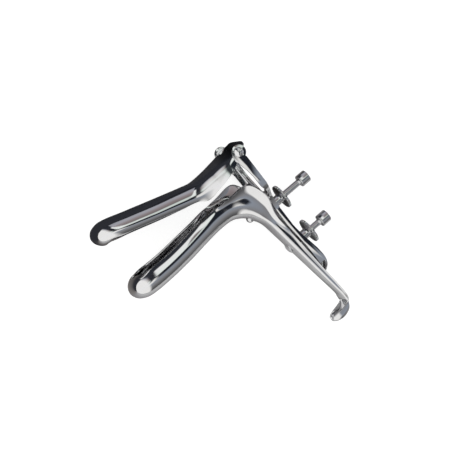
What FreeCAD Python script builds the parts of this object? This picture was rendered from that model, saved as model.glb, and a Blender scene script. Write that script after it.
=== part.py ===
import FreeCAD, Part
import math
import os
from FreeCAD import Placement, Rotation, Vector

# Bivalve speculum, fully open and lying on its side.
# X runs along the lower blade towards its tip, Y down the handle and Z up, from side to side.
# The parts are drawn about the middle of the hinge axis, then moved together so that the
# origin lies under the middle of the whole instrument, on the surface that it rests on.
# Stations of the pressed sheets give places along the blade and above its bend.

doc = FreeCAD.newDocument("speculum")
sheet = doc.addObject("Spreadsheet::Sheet", "Sizes")

DRIVING = {
    # Sheet metal and fits
    "wall": 1.4,
    "run_gap": 0.06,
    "face_gap": 0.1,
    # Hinge axis, measured from the bend between blade and handle
    "hinge_behind": 19.3,
    "hinge_rise": 45.7,
    "spread_angle": 16.5,
    # Lower blade
    "blade_reach": 100.5,
    "blade_half": 17.5,
    "waist_half": 15.6,
    "lip_turn": 2.6,
    "blade_low": 3.9,
    "throat_low": 7.9,
    "rim_up": 19.6,
    "throat_rim_up": 23.4,
    "nose_length": 12.5,
    "nose_rise": 8.5,
    "nose_up": 12.5,
    "rim_setback": 9.7,
    "rim_round": 14.0,
    "wing_half": 21.3,
    # Handle and hook
    "handle_length": 88.0,
    "handle_front": 5.2,
    "handle_slope": 0.155,
    "handle_rear": 14.9,
    "rear_slope": 0.09,
    "handle_half": 11.8,
    "handle_end_half": 8.6,
    "hook_depth": 6.4,
    # Upper blade
    "upper_short": 3.0,
    "upper_rim_up": 23.5,
    "upper_top": 36.5,
    "funnel_half": 22.0,
    "cheek_radius": 3.9,
    # Yoke
    "yoke_behind": 2.7,
    "yoke_half": 23.6,
    "arm_depth": 4.9,
    "arm_top": 7.4,
    "arch_radius": 18.0,
    "arch_centre": 19.7,
    "ear_radius": 5.3,
    "ear_gap": 0.2,
    "neck_half": 12.6,
    "tongue_half": 8.8,
    "tongue_end": 104.4,
    "rest_end": 113.4,
    "lug_radius": 5.6,
    "slide_travel": 13.0,
    # Thumb lever
    "lever_half": 3.6,
    "lever_eye": 4.3,
    "lever_pad": 6.0,
    # Studs, nuts and stops
    "stud_radius": 2.4,
    "slot_clear": 0.35,
    "angle_side": 9.0,
    "angle_drop": 51.3,
    "lock_drop": 82.2,
    "pin_drop": 46.7,
    "pin_radius": 2.0,
    "head_radius": 4.5,
    "head_rise": 1.7,
    "collar_radius": 3.6,
    "washer_radius": 5.2,
    "washer_thick": 1.1,
    "nut_flange_radius": 5.0,
    "nut_flange": 1.3,
    "nut_neck_radius": 3.8,
    "nut_neck": 5.6,
    "nut_radius": 9.7,
    "nut_rim": 1.9,
    "nut_cone": 1.3,
    "knurl_radius": 0.7,
    "stop_radius": 4.8,
    "stop_length": 7.9,
    "stop_chamfer": 0.4,
    "angle_free": 15.1,
    "lock_free": 8.2,
    # Hinge screws and lever rivets
    "screw_radius": 2.0,
    "screw_head_radius": 3.5,
    "screw_head": 1.9,
    "slot_width": 1.0,
    "slot_deep": 0.8,
    "rivet_radius": 1.0,
}

for row, (alias, value) in enumerate(DRIVING.items(), start=1):
    sheet.set(f"A{row}", alias)
    sheet.set(f"B{row}", str(value))
    sheet.setAlias(f"B{row}", alias)
doc.recompute()


def size(alias):
    """Read one driving size from the sheet."""
    return float(sheet.get(alias))


wall = size("wall")
reach = size("blade_reach")
hinge_along = -size("hinge_behind")
hinge_up = size("hinge_rise")
BACK = Vector(-1, 0, 0)
FRONT = Vector(1, 0, 0)
SIDE = Vector(0, 0, 1)


def place(along, up, side=0.0):
    """Turn a place measured from the bend into the frame of the hinge axis."""
    return Vector(along - hinge_along, hinge_up - up, side)


def swing(along, up):
    """Swing a place on the closed upper blade about the hinge to the open pose."""
    angle = math.radians(size("spread_angle"))
    ahead = along - hinge_along
    above = up - hinge_up
    swung_ahead = ahead * math.cos(angle) - above * math.sin(angle)
    swung_above = ahead * math.sin(angle) + above * math.cos(angle)
    return hinge_along + swung_ahead, hinge_up + swung_above


# Pressed sheets: a station holds its middle place, its edge place, the edge's half width,
# the widest half width, how deep that widest place lies, and how square the section is.

ACROSS = 8
ROUND_SHARE = 0.62
CHEEK_INSET = 0.13


def section(station, hand, share):
    """One point of a station's section, from its middle (0) to its edge (1)."""
    mid, edge, edge_half, belly_half, belly_share, square = station
    if share <= ROUND_SHARE:
        angle = share / ROUND_SHARE * math.pi / 2
        lateral = belly_half * math.sin(angle) ** square
        depth = belly_share * (1 - max(0.0, math.cos(angle)) ** square)
    else:
        rest = (share - ROUND_SHARE) / (1 - ROUND_SHARE)
        lateral = belly_half + (edge_half - belly_half) * rest ** 2
        depth = belly_share + (1 - belly_share) * rest
    along = mid[0] + (edge[0] - mid[0]) * depth
    up = mid[1] + (edge[1] - mid[1]) * depth
    return place(along, up, hand * lateral)


def inset(station):
    """Move a measured outer station to the sheet's inner face, one wall inside it."""
    mid, edge, edge_half, belly_half, *rest = station
    share = wall / math.hypot(edge[0] - mid[0], edge[1] - mid[1])
    inner_mid = (mid[0] + (edge[0] - mid[0]) * share, mid[1] + (edge[1] - mid[1]) * share)
    return (inner_mid, edge, edge_half - wall, belly_half - wall, *rest)


def flatten(station):
    """The station's numbers in one list."""
    mid, edge, *rest = station
    return [*mid, *edge, *rest]


def blend(stations, count):
    """Stations spread evenly along a smooth run through the given ones."""
    values = [flatten(station) for station in stations]
    runs = [0.0]
    for last, following in zip(values, values[1:]):
        step = math.hypot(following[0] - last[0], following[1] - last[1])
        edge_step = math.hypot(following[2] - last[2], following[3] - last[3])
        runs.append(runs[-1] + 0.5 * (step + edge_step) + 0.5)
    slopes = []
    for i in range(len(values)):
        lo = max(0, i - 1)
        hi = min(len(values) - 1, i + 1)
        span = runs[hi] - runs[lo]
        slopes.append([(b - a) / span for a, b in zip(values[lo], values[hi])])
    blended = []
    for k in range(count):
        run = runs[-1] * k / (count - 1)
        i = max(j for j in range(len(runs) - 1) if runs[j] <= run + 1e-9)
        width = runs[i + 1] - runs[i]
        f = (run - runs[i]) / width
        line = []
        for a, b, p, q in zip(values[i], values[i + 1], slopes[i], slopes[i + 1]):
            start = (1 + 2 * f) * (1 - f) ** 2 * a + f * (1 - f) ** 2 * width * p
            end = f * f * (3 - 2 * f) * b + f * f * (f - 1) * width * q
            line.append(start + end)
        blended.append((line[0:2], line[2:4], *line[4:]))
    return blended


def sheet_rows(stations):
    """Grid of points over the outer face of a pressed sheet, edge to edge."""
    rows = []
    for station in stations:
        left = [section(station, -1, i / ACROSS) for i in range(ACROSS, 0, -1)]
        right = [section(station, 1, i / ACROSS) for i in range(ACROSS + 1)]
        rows.append(left + right)
    return rows


def offset_rows(surface, rows, thickness):
    """The grid moved off its surface by the sheet's thickness."""
    moved = []
    for row in rows:
        line = []
        for point in row:
            u, v = surface.parameter(point)
            line.append(point + surface.normal(u, v) * thickness)
        moved.append(line)
    return moved


def pressed_sheet(stations, count, inward):
    """Solid sheet of even thickness through the stations."""
    rows = sheet_rows(blend(stations, count))
    outer = Part.BSplineSurface()
    outer.interpolate(rows)
    inner = Part.BSplineSurface()
    inner.interpolate(offset_rows(outer, rows, inward * wall))
    faces = [outer.toShape(), inner.toShape()]
    u0, u1, v0, v1 = outer.bounds()
    s0, s1, t0, t1 = inner.bounds()
    borders = [
        (outer.uIso(u0), inner.uIso(s0)),
        (outer.uIso(u1), inner.uIso(s1)),
        (outer.vIso(v0), inner.vIso(t0)),
        (outer.vIso(v1), inner.vIso(t1)),
    ]
    for first, second in borders:
        faces.append(Part.makeRuledSurface(first.toShape(), second.toShape()))
    skin = Part.makeCompound(faces)
    skin.sewShape(0.01)
    solid = Part.makeSolid(skin.Shells[0])
    if solid.Volume < 0:
        solid.reverse()
    return solid


def nose_stations(end_along, rim_up):
    """Stations round the blunt, rolled-in tip, from the rim's far point back to the blade."""
    lip_half = size("blade_half") - size("lip_turn")
    centre = end_along - size("nose_length")
    rim_end = end_along - size("rim_setback")
    stations = []
    for degrees in (14, 28, 42, 56, 70, 85):
        share = degrees / 90
        lift = math.radians(160 * (1 - share ** 1.6))
        along = centre + size("nose_length") * math.sin(lift)
        mid = (along, size("nose_up") - size("nose_rise") * math.cos(lift))
        turn = math.radians(degrees)
        edge = (rim_end - size("rim_round") * (1 - math.cos(turn)), rim_up + 0.8 * math.cos(turn))
        belly = size("blade_half") * math.sin(turn) ** 0.75
        stations.append((mid, edge, lip_half * math.sin(turn), belly, 0.55 + 0.08 * share, 0.85))
    return stations


def lower_stations():
    """Stations of the lower blade, the mouth and the handle, tip first."""
    half = size("blade_half")
    waist = size("waist_half")
    lip = size("lip_turn")
    low = size("blade_low")
    throat = size("throat_low")
    rim = size("rim_up")
    throat_rim = size("throat_rim_up")
    wing = size("wing_half")
    stations = nose_stations(reach, rim)
    stations += [
        ((0.72 * reach, low - 0.1), (0.66 * reach, rim), half - lip, half, 0.64, 0.8),
        ((0.52 * reach, low + 1.1), (0.49 * reach, rim + 1.0), half - lip, half - 0.3, 0.66, 0.8),
        ((0.35 * reach, throat - 1.0), (0.33 * reach, rim + 2.3), waist - 1.0, waist + 0.4, 0.7, 0.78),
        ((0.22 * reach, throat), (0.2 * reach, throat_rim), waist - 0.3, waist, 0.76, 0.76),
        ((0.11 * reach, throat - 0.6), (0.065 * reach, throat_rim + 0.5), wing - 3.4, waist + 0.5, 0.72, 0.74),
        ((2.6, 2.6), (-10.5, throat_rim), wing, waist + 0.9, 0.5, 0.72),
        ((-2.2, -3.4), (-17.4, 9.0), wing - 1.0, waist - 1.2, 0.42, 0.68),
    ]
    length = size("handle_length")
    half_drop = size("handle_half") - size("handle_end_half")
    for down in (0.13 * length, 0.27 * length, 0.52 * length, 0.79 * length, length):
        front = -size("handle_front") - size("handle_slope") * down
        rear = -size("handle_rear") - size("rear_slope") * down
        edge_half = size("handle_half") - half_drop * down / length
        flare = max(0.0, 0.27 - down / length) / 0.14
        mid = (front + 0.3 * flare, -down)
        edge = (rear, -down + 0.12 * (front - rear) + 3.0 * flare)
        belly_half = edge_half - 0.5 + 0.4 * flare
        stations.append((mid, edge, edge_half + 2.4 * flare, belly_half, 0.4, 0.6))
    return stations


def hook_stations():
    """Stations where the handle turns forward into the upturned finger rest."""
    half = size("handle_end_half")
    length = size("handle_length")
    front = -size("handle_front") - size("handle_slope") * length
    deep = size("hook_depth")
    low = -length - 15.9
    return [
        ((front - 1.2, -length - 3.8), (front - 3.2, -length - 4.6), half - 0.3, half - 0.6, 0.45, 0.65),
        ((front - 1.6, -length - 8.0), (front - 0.6, -length - 7.2), half - 0.5, half - 0.7, 0.5, 0.75),
        ((front + 0.2, low + 3.2), (front + 3.6, low + 3.4 + 0.62 * deep), half - 0.8, half - 0.9, 0.5, 0.85),
        ((front + 4.4, low + 0.7), (front + 7.2, low + 0.7 + 0.95 * deep), half - 1.2, half - 1.3, 0.5, 0.9),
        ((front + 9.2, low), (front + 10.6, low + deep), half - 2.0, half - 2.1, 0.5, 0.9),
        ((front + 13.2, low + 0.8), (front + 13.6, low + 0.9 * deep), half - 3.4, half - 3.4, 0.5, 0.9),
        ((front + 15.6, low + 2.4), (front + 15.4, low + 0.8 * deep), half - 5.6, half - 5.6, 0.5, 0.9),
    ]


def upper_stations():
    """Stations of the upper blade and its funnel, tip first, in the open pose."""
    half = size("blade_half")
    waist = size("waist_half")
    lip = size("lip_turn")
    rim = size("upper_rim_up")
    top = size("upper_top")
    wide = size("funnel_half")
    turned_up = top + size("blade_low")
    closed = []
    for mid, edge, *rest in nose_stations(reach - size("upper_short"), turned_up - rim):
        closed.append(((mid[0], turned_up - mid[1]), (edge[0], turned_up - edge[1]), *rest))
    closed += [
        ((0.69 * reach, top), (0.63 * reach, rim), half - lip, half, 0.64, 0.8),
        ((0.50 * reach, top), (0.47 * reach, rim + 0.1), half - lip, half - 0.3, 0.66, 0.8),
        ((0.34 * reach, top), (0.31 * reach, rim + 0.5), waist - 1.3, waist + 0.3, 0.68, 0.76),
        ((0.23 * reach, top), (0.19 * reach, rim + 0.8), waist - 0.9, waist + 0.1, 0.68, 0.72),
        ((15.7, top + 0.2), (11.5, rim - 1.2), waist - 0.8, waist + 0.9, 0.5, 0.62),
        ((3.4, top + 3.5), (-0.4, rim + 4.1), wide - 2.6, wide - 2.6, 0.5, 0.52),
        ((-8.8, top + 7.9), (-8.8, rim + 9.2), wide - 0.2, wide - 0.3, 0.5, 0.46),
        ((-20.1, top + 12.1), (-14.9, rim + 14.7), wide, wide, 0.5, 0.42),
        ((-28.1, top + 15.0), (-18.6, rim + 17.9), wide, wide, 0.5, 0.42),
    ]
    return [(swing(*mid), swing(*edge), *rest) for mid, edge, *rest in closed]


def flat(points, offset, depth):
    """Plate with a straight-sided outline in the Y-Z plane, thick along X."""
    corners = [Vector(offset, down, side) for down, side in points]
    face = Part.Face(Part.makePolygon(corners + corners[:1]))
    return face.extrude(Vector(depth, 0, 0))


def side_plate(points, low, high):
    """Plate with a straight-sided outline in the X-Y plane, thick along Z."""
    corners = [Vector(ahead, down, low) for ahead, down in points]
    face = Part.Face(Part.makePolygon(corners + corners[:1]))
    return face.extrude(Vector(0, 0, high - low))


def rod(radius, start, length, axis=BACK):
    """Round bar from a place along an axis."""
    return Part.makeCylinder(radius, length, start, axis)


def spline_points(points, count):
    """Points spread along a smooth curve through the given ones."""
    curve = Part.BSplineCurve()
    curve.interpolate(points)
    span = curve.LastParameter - curve.FirstParameter
    return [curve.value(curve.FirstParameter + span * i / (count - 1)) for i in range(count)]


def slot_cut(half, top, bottom, side=0.0):
    """Cutter for a slot down the Y axis, through the plates behind the handle."""
    middle = Part.makeBox(30, bottom - top, 2 * half, Vector(-15, top, side - half))
    ends = [rod(half, Vector(15, down, side), 30) for down in (top, bottom)]
    return middle.multiFuse(ends)


def dome(radius, rise, base, axis):
    """Cap of a ball, standing on a round foot and pointing along an axis."""
    ball = (radius ** 2 + rise ** 2) / (2 * rise)
    centre = base - axis * (ball - rise)
    return Part.makeSphere(ball, centre).common(rod(radius, base, ball, axis))


def strip_line(points, thick):
    """Closed outline of a thin strip in the X-Y plane, along a smooth curve."""
    outer = spline_points([Vector(ahead, down, 0) for ahead, down in points], 13)
    inner = []
    for i, point in enumerate(outer):
        ahead = outer[min(i + 1, 12)] - outer[max(i - 1, 0)]
        ahead.normalize()
        inner.append(point + Vector(ahead.y, -ahead.x, 0) * thick)
    return [(p.x, p.y) for p in outer + inner[::-1]]


yoke_rear = -size("yoke_behind")
yoke_front = yoke_rear + wall
tongue = size("tongue_half")
tongue_end = size("tongue_end")
ear_in = size("funnel_half") + size("ear_gap")
ear_out = size("yoke_half")
stud = size("stud_radius")
run = size("run_gap")
angle_side = -size("angle_side")
angle_down = size("angle_drop")
lock_down = size("lock_drop")
pin_down = size("pin_drop")
travel = size("slide_travel")
gap = size("face_gap")
lever_front = yoke_rear - gap
lever_rear = lever_front - wall


def yoke_outline(inset):
    """Outline of the yoke's plate, down one side and up the other."""
    outer = ear_out - inset
    neck = size("neck_half") - inset
    slim = tongue - inset
    curve = [
        (28.0, outer), (31.8, outer - 1.5), (36.4, outer - 5.6),
        (42.0, neck), (48.0, slim + 0.9), (55.0, slim),
    ]
    bend = spline_points([Vector(0, down, side) for down, side in curve], 15)
    near = [(size("arm_top"), outer)] + [(p.y, p.z) for p in bend] + [(tongue_end, slim)]
    return near + [(down, -side) for down, side in reversed(near)]


def yoke_plate(inset, offset, depth):
    """The yoke's whole outline as a plate, with the lug for the angle stud."""
    plate = flat(yoke_outline(inset), offset, depth)
    lug = rod(size("lug_radius") - inset, Vector(offset, angle_down, angle_side), depth, FRONT)
    return plate.fuse(lug)


# Yoke: a plate with turned edges, an arch for the mouth, two ears and a slotted tongue
shell = yoke_plate(0.0, yoke_rear, size("arm_depth")).cut(yoke_plate(wall, yoke_front, 10.0))
arch = size("arch_radius")
arch_down = size("arch_centre")
mouth = rod(arch, Vector(15, arch_down, 0), 30)
mouth = mouth.fuse(Part.makeBox(30, arch_down + 40, 2 * arch, Vector(-15, -40, -arch)))
open_top = Part.makeBox(20, 12, 2 * (ear_out - wall), Vector(yoke_front, 0, wall - ear_out))
front_line = [
    (2.2, 0.0), (2.2, 29.0), (0.6, 33.5), (-0.4, 38.0), (-0.3, 43.0), (0.4, 48.0), (0.7, 60.0),
    (0.8, 66.0), (-0.1, 76.0), (-1.3, 88.0), (-1.3, 120.0), (9.0, 120.0), (9.0, 0.0),
]
shell = shell.cut(mouth).cut(open_top).cut(side_plate(front_line, -30, 30))
rail_line = [
    (yoke_front, 69.0), (yoke_rear, 69.0), (-3.1, 73.0), (-4.0, 80.0), (-5.6, 87.5),
    (-6.8, 94.0), (-7.3, 99.7), (-7.1, tongue_end), (yoke_front, tongue_end),
]
rails = [side_plate(rail_line, tongue - wall, tongue), side_plate(rail_line, -tongue, wall - tongue)]
rest_line = [
    (-7.3, 99.7), (-7.25, 103.0), (-6.5, 106.4), (-4.9, 109.8), (-2.6, size("rest_end") - 0.2),
]
thumb_rest = side_plate(strip_line(rest_line, wall), -tongue, tongue)
round_end = rod(tongue, Vector(3, size("rest_end") - tongue, 0), 14)
round_end = round_end.fuse(Part.makeBox(20, 10, 2 * tongue, Vector(-12, 95, -tongue)))
shelf = Part.makeBox(7.0 + yoke_front, wall, 2 * tongue, Vector(-7.0, tongue_end - wall, -tongue))
ear_line = [
    (yoke_rear, 30.0), (yoke_rear, 6.2), (-1.2, 0.0), (5.3, 0.0), (5.4, 4.0), (4.7, 8.0),
    (3.3, 14.0), (2.4, 20.0), (2.2, 30.0),
]
ears = []
for low, high in ((ear_in, ear_out), (-ear_out, -ear_in)):
    ears.append(side_plate(ear_line, low, high))
    ears.append(rod(size("ear_radius"), Vector(0, 0, low), high - low, SIDE))
yoke_shape = shell.multiFuse(rails + [thumb_rest.common(round_end), shelf] + ears)
lock_slot = slot_cut(stud + size("slot_clear"), lock_down, lock_down + travel + 0.1)
pin_slot = slot_cut(size("pin_radius") + 0.15, pin_down, pin_down + travel + 0.1)
stud_bore = rod(stud + run, Vector(15, angle_down, angle_side), 30)
hinge_bore = rod(size("screw_radius") + run, Vector(0, 0, -30), 60, SIDE)
yoke_shape = yoke_shape.cut(lock_slot).cut(pin_slot).cut(stud_bore).cut(hinge_bore)

# Lower blade and handle, one sheet with a hole for the guide pin and one for the lock stud
lower_inner = [inset(station) for station in lower_stations()]
lower_shape = pressed_sheet(lower_inner + hook_stations(), 60, 1)
pin_hole = rod(size("pin_radius") + run, Vector(40, pin_down, 0), 40)
lock_hole = rod(stud + run, Vector(40, lock_down, 0), 40)
lower_shape = lower_shape.cut(pin_hole).cut(lock_hole)

# Upper blade, a shorter sheet that flares into a funnel with a cheek at each side
upper_shape = pressed_sheet([inset(station) for station in upper_stations()], 40, -1)
cheek_out = size("funnel_half")
cheek_wall = wall - 2 * CHEEK_INSET
for low in (cheek_out - CHEEK_INSET - cheek_wall, CHEEK_INSET - cheek_out):
    cheek = rod(size("cheek_radius"), Vector(0, 0, low), cheek_wall, SIDE)
    upper_shape = upper_shape.fuse(cheek)
upper_shape = upper_shape.cut(hinge_bore)

# Thumb lever: a bent strip, riveted inside the far cheek and led down behind the yoke
lever_out = -(cheek_out - wall) + gap
foot_line = [
    (lever_rear, -0.2), (10.5, -0.2), (11.5, 2.6), (9.5, 4.2), (3.0, 6.4),
    (lever_front, 6.9), (lever_rear, 6.9),
]
foot = side_plate(foot_line, lever_out, lever_out + wall)
half = size("lever_half")
eye = size("lever_eye")
spine = spline_points(
    [
        Vector(0, -0.2, -16.9),
        Vector(0, 12.0, -19.2),
        Vector(0, 24.0, -19.4),
        Vector(0, 36.0, -15.0),
        Vector(0, angle_down, angle_side),
    ],
    17,
)
near_side = []
far_side = []
for i, point in enumerate(spine):
    ahead = spine[min(i + 1, 16)] - spine[max(i - 1, 0)]
    ahead.normalize()
    across = Vector(0, -ahead.z, ahead.y)
    near_side.append(point + across * half)
    far_side.append(point - across * half)
strip = flat([(p.y, p.z) for p in near_side + far_side[::-1]], lever_rear, wall)
eye_bottom = angle_down + 3.6
lobe = rod(eye, Vector(lever_front, angle_down, angle_side), wall)
lobe = lobe.fuse(rod(eye, Vector(lever_front, eye_bottom, angle_side), wall))
lobe = lobe.fuse(Part.makeBox(wall, 3.6, 2 * eye, Vector(lever_rear, angle_down, angle_side - eye)))
pad = size("lever_pad")
pad_side = angle_side - 9.5
lobe = lobe.fuse(rod(pad, Vector(lever_front, eye_bottom - 1.0, pad_side), wall))
lobe = lobe.fuse(Part.makeBox(wall, 8.6, 9.5, Vector(lever_rear, eye_bottom - 5.0, pad_side)))
lever_shape = foot.multiFuse([strip, lobe])
eye_slot = slot_cut(stud + size("slot_clear"), angle_down - 0.2, eye_bottom, angle_side)
lever_shape = lever_shape.cut(eye_slot).cut(hinge_bore).cut(upper_shape)
rivets = []
for ahead, down in ((5.6, 1.4), (8.9, 1.9)):
    rivet_start = Vector(ahead, down, -cheek_out)
    rivet_bore = rod(size("rivet_radius") + run, rivet_start, 5.0, SIDE)
    upper_shape = upper_shape.cut(rivet_bore)
    lever_shape = lever_shape.cut(rivet_bore)
    head = dome(1.8, 0.8, Vector(ahead, down, lever_out + wall), SIDE)
    rivet = rod(size("rivet_radius"), rivet_start, 2 * wall + gap, SIDE).fuse(head)
    rivets.append(rivet.cut(upper_shape))
lever_shape = max(lever_shape.Solids, key=lambda solid: solid.Volume)

# Hinge screws: a domed, slotted head outside each ear and a plain shank through ear and cheek
screws = []
for hand in (-1, 1):
    outward = Vector(0, 0, hand)
    base = Vector(0, 0, hand * (ear_out + 0.02))
    screw = dome(size("screw_head_radius"), size("screw_head"), base, outward)
    screw = screw.fuse(rod(size("screw_radius"), Vector(0, 0, hand * 18.6), ear_out + 0.02 - 18.6, outward))
    top = ear_out + size("screw_head")
    groove = Part.makeBox(10, size("slot_width"), 3, Vector(-5, -size("slot_width") / 2, -1.5))
    groove.translate(Vector(0, 0, hand * (top - size("slot_deep") + 1.5)))
    groove.rotate(Vector(0, 0, 0), SIDE, 62)
    screws.append(screw.cut(groove))

# Lock stud: slotted head on the handle's front, a collar up to the yoke, and the plain stud
web_front = hinge_up - lock_down
web_ahead = -size("handle_front") + size("handle_slope") * web_front - hinge_along
lock_seat = yoke_rear - gap / 2
nut_length = size("nut_flange") + size("nut_neck") + size("nut_rim") + size("nut_cone")
lock_stack = size("washer_thick") + nut_length + 0.04
lock_end = lock_seat - lock_stack - size("lock_free")
head_base = Vector(web_ahead - 0.55, lock_down, 0)
lock_head = rod(size("head_radius"), head_base, 1.0, FRONT)
lock_head = lock_head.fuse(dome(size("head_radius"), size("head_rise"), head_base + FRONT * 1.0, FRONT))
groove = Part.makeBox(4, 10, size("slot_width"), Vector(web_ahead + 1.3, lock_down - 5, -size("slot_width") / 2))
collar = rod(size("collar_radius"), head_base, web_ahead - 0.55 - yoke_front - gap)
sleeve = lock_head.cut(groove).fuse(collar).cut(lower_shape)
lock_bar = rod(stud, Vector(web_ahead, lock_down, 0), web_ahead - lock_end + size("stop_length") - 2.0)
lock_stud = sleeve.fuse(lock_bar)

# Guide pin: a ball head at the bend, a shank through the yoke's upper slot, a riveted tail
pin_ball = Part.makeSphere(2.9, place(-1.0, hinge_up - pin_down, 0) - Vector(0.2, 0, 0))
washer_rear = yoke_rear - gap / 2 - size("washer_thick")
pin_bar = rod(size("pin_radius"), place(-1.0, hinge_up - pin_down, 0), 18.6 - washer_rear)
tail = dome(3.0, 1.1, Vector(washer_rear - 0.02, pin_down, 0), BACK)
guide_pin = pin_ball.cut(lower_shape).multiFuse([pin_bar, tail])

# Angle stud: riveted head in front of the yoke, long plain stud behind it
angle_seat = lever_rear - gap / 2
angle_end = angle_seat - lock_stack - size("angle_free")
angle_start = Vector(yoke_front + 0.02, angle_down, angle_side)
angle_stud = dome(3.9, 1.5, angle_start, FRONT)
angle_stud = angle_stud.fuse(rod(stud, angle_start, yoke_front - angle_end + size("stop_length") - 2.0))

finished = {}


def feature(label, shape):
    """Add a finished shape to the document as a sub-part."""
    item = doc.addObject("Part::Feature", label)
    item.Label = label
    item.Shape = shape
    finished[label] = item


def expressed(kind, numbers, start):
    """Primitive along -X whose sizes and place follow the sheet."""
    item = doc.addObject(f"Part::{kind}", "Blank")
    item.Placement = Placement(Vector(), Rotation(SIDE, BACK))
    for name, text in numbers.items():
        item.setExpression(name, text)
    for axis, text in zip("xyz", start):
        item.setExpression(f"Placement.Base.{axis}", text)
    return item


def assembled(label, solids, cutters):
    """Fuse the primitives, cut the rest away and keep the result as a sub-part."""
    body = solids[0]
    if len(solids) > 1:
        body = doc.addObject("Part::MultiFuse", "Joined")
        body.Shapes = solids
    for cutter in cutters:
        cut = doc.addObject("Part::Cut", "Opened")
        cut.Base = body
        cut.Tool = cutter
        body = cut
    body.Label = label
    finished[label] = body


SEAT = {
    "lock": "(-Sizes.yoke_behind - Sizes.face_gap / 2)",
    "angle": "(-Sizes.yoke_behind - 1.5 * Sizes.face_gap - Sizes.wall)",
}
DOWN = {"lock": "Sizes.lock_drop", "angle": "Sizes.angle_drop"}
ASIDE = {"lock": "0 * Sizes.angle_side", "angle": "-Sizes.angle_side"}
BORE = "Sizes.stud_radius + Sizes.run_gap"
NUT = "(Sizes.nut_flange + Sizes.nut_neck + Sizes.nut_rim + Sizes.nut_cone)"


def washer(label, seat, down, aside, front, radius, bore):
    """Ring behind a seat, narrower at the front where it bears."""
    sizes = {"Radius1": front, "Radius2": radius, "Height": "Sizes.washer_thick"}
    plain = expressed("Cone", sizes, (seat, down, aside))
    hole = expressed("Cylinder", {"Radius": bore, "Height": "Sizes.washer_thick + 2"}, (f"{seat} + 1", down, aside))
    assembled(label, [plain], [hole])


def knurl(start, down, aside):
    """Ring of round grooves for the rim of a nut."""
    ring = size("nut_radius") + 0.45 * size("knurl_radius")
    grooves = []
    for i in range(30):
        turn = math.radians(12 * i)
        centre = Vector(start + 1, down + ring * math.cos(turn), aside + ring * math.sin(turn))
        grooves.append(rod(size("knurl_radius"), centre, size("nut_rim") + size("nut_cone") + 2))
    item = doc.addObject("Part::Feature", "Grooves")
    item.Shape = Part.makeCompound(grooves)
    return item


def thumb_nut(label, which):
    """Round nut: a small flange, a neck, and a wide grooved disc behind it."""
    start = f"({SEAT[which]} - Sizes.washer_thick - 0.02)"
    neck = f"({start} - Sizes.nut_flange)"
    disc = f"({neck} - Sizes.nut_neck)"
    cone = f"({disc} - Sizes.nut_rim)"
    spot = (DOWN[which], ASIDE[which])
    flange_size = {"Radius": "Sizes.nut_flange_radius", "Height": "Sizes.nut_flange"}
    neck_size = {"Radius": "Sizes.nut_neck_radius", "Height": "Sizes.nut_neck"}
    disc_size = {"Radius": "Sizes.nut_radius", "Height": "Sizes.nut_rim"}
    cone_size = {
        "Radius1": "Sizes.nut_radius - 0.8",
        "Radius2": "Sizes.nut_neck_radius",
        "Height": "Sizes.nut_cone",
    }
    solids = [
        expressed("Cylinder", flange_size, (start, *spot)),
        expressed("Cylinder", neck_size, (neck, *spot)),
        expressed("Cylinder", disc_size, (disc, *spot)),
        expressed("Cone", cone_size, (cone, *spot)),
    ]
    bore = expressed("Cylinder", {"Radius": BORE, "Height": f"{NUT} + 4"}, (f"{start} + 2", *spot))
    seat = yoke_rear - gap / 2 if which == "lock" else lever_rear - gap / 2
    disc_at = seat - size("washer_thick") - size("nut_flange") - size("nut_neck")
    aside = 0.0 if which == "lock" else angle_side
    down = lock_down if which == "lock" else angle_down
    assembled(label, solids, [bore, knurl(disc_at, down, aside)])


def end_stop(label, which, free):
    """Plain cap pressed on the end of a stud."""
    start = f"({SEAT[which]} - Sizes.washer_thick - 0.04 - {NUT} - {free})"
    barrel = f"({start} - Sizes.stop_chamfer)"
    rear = f"({start} - Sizes.stop_length + Sizes.stop_chamfer)"
    small = "Sizes.stop_radius - Sizes.stop_chamfer"
    spot = (DOWN[which], ASIDE[which])
    chamfer = "Sizes.stop_chamfer"
    front_size = {"Radius1": small, "Radius2": "Sizes.stop_radius", "Height": chamfer}
    barrel_size = {"Radius": "Sizes.stop_radius", "Height": f"Sizes.stop_length - 2 * {chamfer}"}
    rear_size = {"Radius1": "Sizes.stop_radius", "Radius2": small, "Height": chamfer}
    solids = [
        expressed("Cone", front_size, (start, *spot)),
        expressed("Cylinder", barrel_size, (barrel, *spot)),
        expressed("Cone", rear_size, (rear, *spot)),
    ]
    blind_size = {"Radius": BORE, "Height": "Sizes.stop_length - 1.9 + 2"}
    blind = expressed("Cylinder", blind_size, (f"{start} + 2", *spot))
    assembled(label, solids, [blind])


feature("lower_blade", lower_shape)
feature("upper_blade", upper_shape)
feature("yoke", yoke_shape.removeSplitter())
feature("thumb_lever", lever_shape.removeSplitter())
feature("lever_rivets", Part.makeCompound(rivets))
feature("hinge_screws", Part.makeCompound(screws))
feature("lock_stud", lock_stud)
feature("guide_pin", guide_pin)
feature("angle_stud", angle_stud)
RIM = "Sizes.washer_radius"
washer("lock_washer", SEAT["lock"], DOWN["lock"], ASIDE["lock"], f"{RIM} - 0.2", RIM, BORE)
washer("angle_washer", SEAT["angle"], DOWN["angle"], ASIDE["angle"], f"{RIM} - 1.6", RIM, BORE)
PIN_BORE = "Sizes.pin_radius + Sizes.run_gap"
washer("guide_washer", SEAT["lock"], "Sizes.pin_drop", ASIDE["lock"], f"{RIM} - 1.3", f"{RIM} - 1.2", PIN_BORE)
thumb_nut("lock_nut", "lock")
thumb_nut("angle_nut", "angle")
end_stop("lock_stop", "lock", "Sizes.lock_free")
end_stop("angle_stop", "angle", "Sizes.angle_free")
doc.recompute()

for item in doc.Objects:
    if "Invalid" in item.State or "Error" in item.State:
        raise RuntimeError(f"{item.Label} did not compute: {item.State}")

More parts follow.
